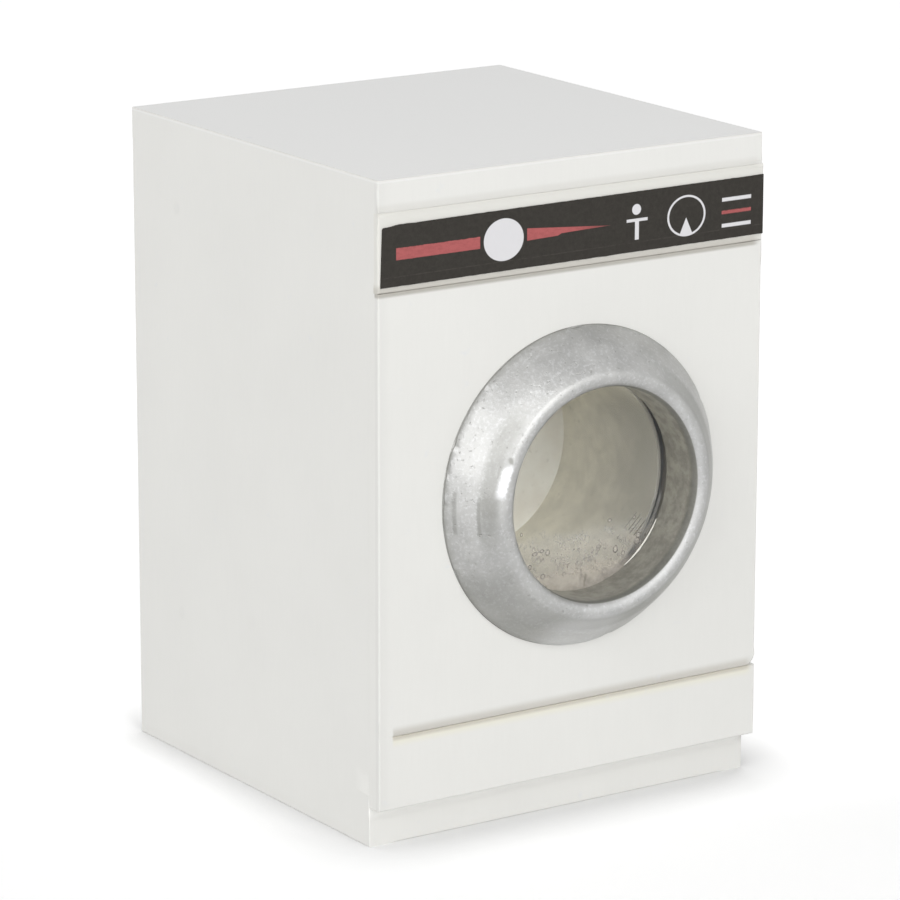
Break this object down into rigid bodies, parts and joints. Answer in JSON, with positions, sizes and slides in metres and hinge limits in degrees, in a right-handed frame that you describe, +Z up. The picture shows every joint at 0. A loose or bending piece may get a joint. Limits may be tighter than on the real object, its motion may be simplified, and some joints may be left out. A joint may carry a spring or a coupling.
{
  "type": "toy washing machine",
  "caption": "White painted wooden dolls' house front-loading washing machine with a hinged front, cast porthole ring, clear window, hollow drum and black control strip.",
  "frame": {"origin": "middle of the underside of the body, on the surface it stands on", "axes": "+X to the right as seen from the front, +Y to the back, +Z up; the door and the porthole face -Y"},
  "size_m": [0.0501, 0.0565, 0.0733],
  "materials": {
    "painted_wood": "smooth satin off-white paint over fine-grained wood, edges eased by hand",
    "bare_wood": "thinly primed softwood, greyish cream, left unsanded behind the door",
    "drum_board": "thin cream paint over wood",
    "drum_card": "thin uneven paint over rolled card, rough and speckled along the floor",
    "printed_label": "matt black print with white and red marks",
    "steel": "plain drawn wire",
    "cast_metal": "satin as-cast surface, fine grain, small casting marks, polished lip",
    "clear_pane": "clear rigid sheet with dried glue, bubbles and scratches over its lower part"
  },
  "bodies": {
    "cabinet": {"left_side": "painted_wood", "right_side": "painted_wood", "worktop": "painted_wood", "base_board": "painted_wood", "back_board": "painted_wood", "inner_front": "bare_wood", "drum_back": "drum_board", "drum_tube": "drum_card", "fascia_board": "painted_wood", "control_label": "printed_label", "kick_board": "painted_wood", "upper_hinge_pin": "steel", "lower_hinge_pin": "steel", "side_nails": "steel"},
    "door": {"door_board": "painted_wood", "porthole_ring": "cast_metal", "window_pane": "clear_pane"}
  },
  "joints": [
    {"name": "door_hinge", "type": "hinge", "parent": "cabinet", "child": "door", "pos_m": [0.0242, -0.0245, 0.0369], "axis": [0, 0, 1], "range_deg": [0, 95]}
  ]
}
